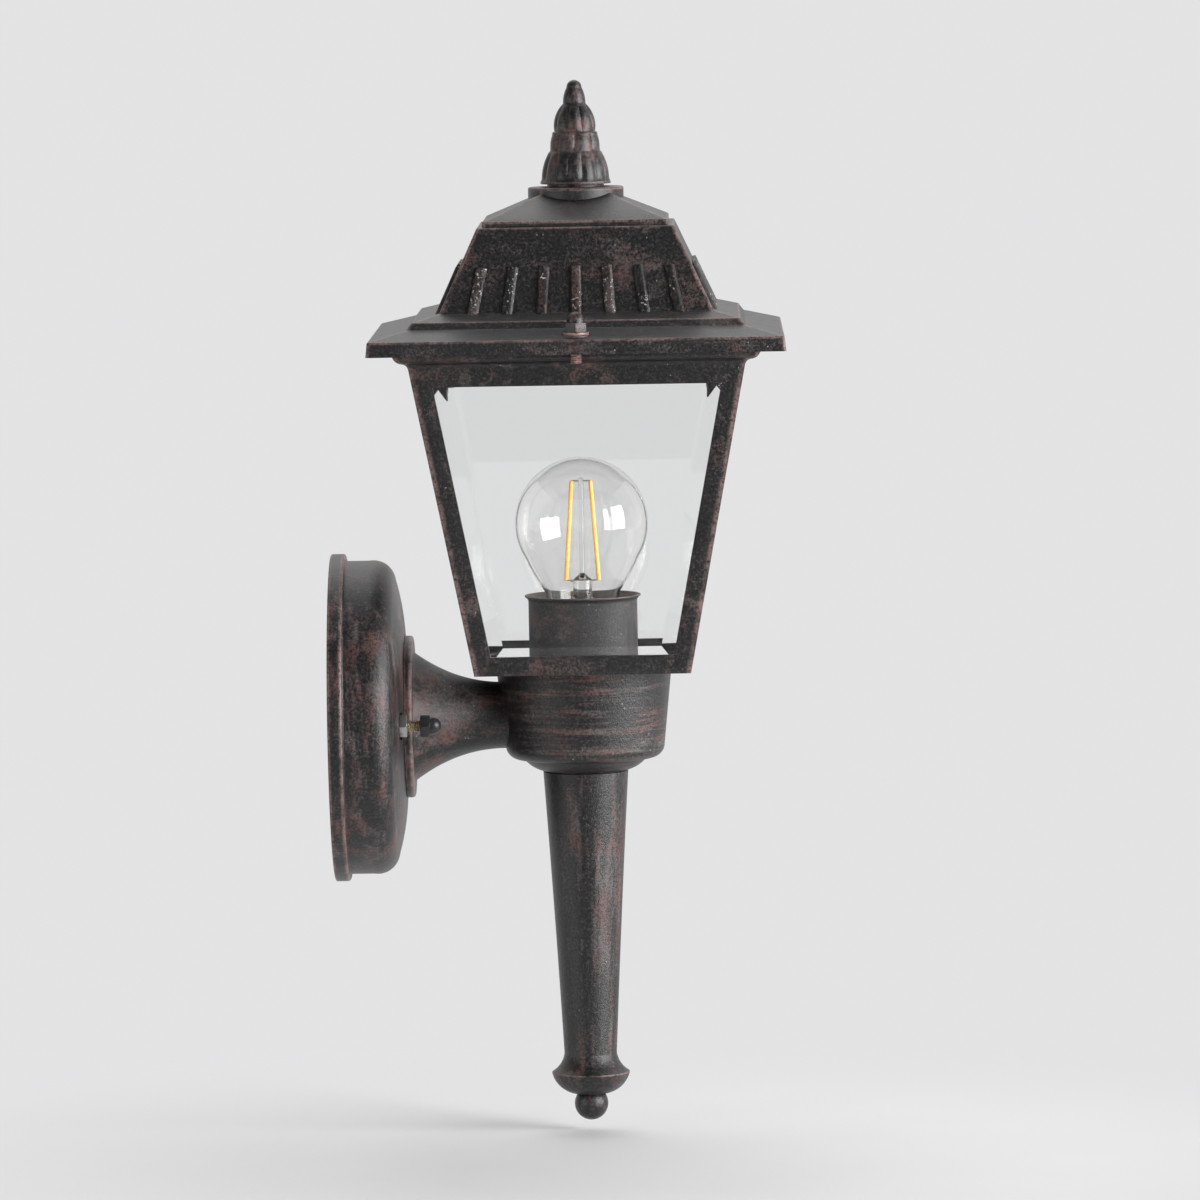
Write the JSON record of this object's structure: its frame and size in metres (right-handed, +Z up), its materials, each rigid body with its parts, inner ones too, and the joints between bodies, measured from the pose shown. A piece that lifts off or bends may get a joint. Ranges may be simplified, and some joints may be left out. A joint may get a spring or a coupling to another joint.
{
  "type": "torch sconce",
  "caption": "Outdoor torch sconce: a square tapered lantern of bevelled glass with ribbed roof and finial, on a cup with a long tail and ball, held from a round wall canopy by a short arm.",
  "frame": {"origin": "middle of the mounting strap's back, on the arm's axis, in the plane of the wall", "axes": "+X out of the wall along the arm, +Y along the wall, +Z up along the lantern's axis"},
  "size_m": [0.1544, 0.1388, 0.3528],
  "materials": {
    "castings": "cast aluminium with dark bronze paint, brushed over with copper brown",
    "dark_nuts": "black lacquer, satin",
    "zinc_steel": "bright zinc plate",
    "yellow_zinc": "yellow zinc plate",
    "dark_sheet": "dark bronze paint on thin sheet",
    "pane_glass": "clear, polished, bevelled edges",
    "bulb_glass": "clear, blown",
    "brass": "plain brass",
    "nickel": "nickel plate",
    "porcelain": "white glaze",
    "black_glass": "black vitrite",
    "phosphor": "yellow phosphor coat",
    "block_plastic": "moulded, matte",
    "black_wire": "insulation",
    "white_wire": "insulation",
    "green_wire": "insulation"
  },
  "bodies": {
    "fixture": {"wall_canopy": "castings", "arm": "castings", "cup": "castings", "tail": "castings", "tail_ball": "castings", "cage": "castings", "mounting_strap": "zinc_steel", "wall_hex_nuts": "zinc_steel", "arm_screws": "zinc_steel", "arm_nut": "zinc_steel", "tie_rod": "zinc_steel", "tie_rod_washer": "zinc_steel", "tie_rod_nut": "zinc_steel", "cage_screws": "zinc_steel", "holder_bracket": "zinc_steel", "bracket_screws": "zinc_steel", "holder_screws": "zinc_steel", "wall_studs": "yellow_zinc", "roof_studs": "yellow_zinc", "arm_nipple": "yellow_zinc", "socket_cup": "dark_sheet", "glass_clips": "dark_sheet", "pane_near": "pane_glass", "pane_front": "pane_glass", "pane_far": "pane_glass", "pane_wall": "pane_glass", "lampholder_shell": "brass", "lampholder_contact": "brass", "earth_screw": "brass", "lampholder_body": "porcelain", "terminal_block": "block_plastic", "live_lead": "black_wire", "neutral_lead": "white_wire", "earth_lead": "green_wire"},
    "roof": {"roof": "castings", "roof_washers": "dark_sheet", "finial": "castings", "finial_rod": "zinc_steel", "finial_nut": "zinc_steel"},
    "bulb": {"bulb_globe": "bulb_glass", "bulb_cap": "nickel", "bulb_insulator": "black_glass", "bulb_contact": "brass", "bulb_stem": "bulb_glass", "bulb_filaments": "phosphor", "filament_wires": "zinc_steel"},
    "roof_nut_near": {"roof_cap_nut_near": "dark_nuts"},
    "roof_nut_far": {"roof_cap_nut_far": "dark_nuts"},
    "wall_nut_near": {"wall_cap_nut_near": "dark_nuts"},
    "wall_nut_far": {"wall_cap_nut_far": "dark_nuts"}
  },
  "joints": [
    {"name": "roof_lift", "type": "slide", "parent": "fixture", "child": "roof", "axis": [0, 0, 1], "range_m": [0, 0.06]},
    {"name": "bulb_unscrew", "type": "slide", "parent": "fixture", "child": "bulb", "axis": [0, 0, 1], "range_m": [0, 0.026]},
    {"name": "roof_nut_near_turn", "type": "hinge", "parent": "roof", "child": "roof_nut_near", "pos_m": [0.085, -0.0626, 0.1323], "axis": [0, 0, 1], "continuous": true},
    {"name": "roof_nut_far_turn", "type": "hinge", "parent": "roof", "child": "roof_nut_far", "pos_m": [0.085, 0.0626, 0.1323], "axis": [0, 0, 1], "continuous": true},
    {"name": "wall_nut_near_turn", "type": "hinge", "parent": "fixture", "child": "wall_nut_near", "pos_m": [0.0304, -0.035, 0], "axis": [1, 0, 0], "continuous": true},
    {"name": "wall_nut_far_turn", "type": "hinge", "parent": "fixture", "child": "wall_nut_far", "pos_m": [0.0304, 0.035, 0], "axis": [1, 0, 0], "continuous": true}
  ]
}
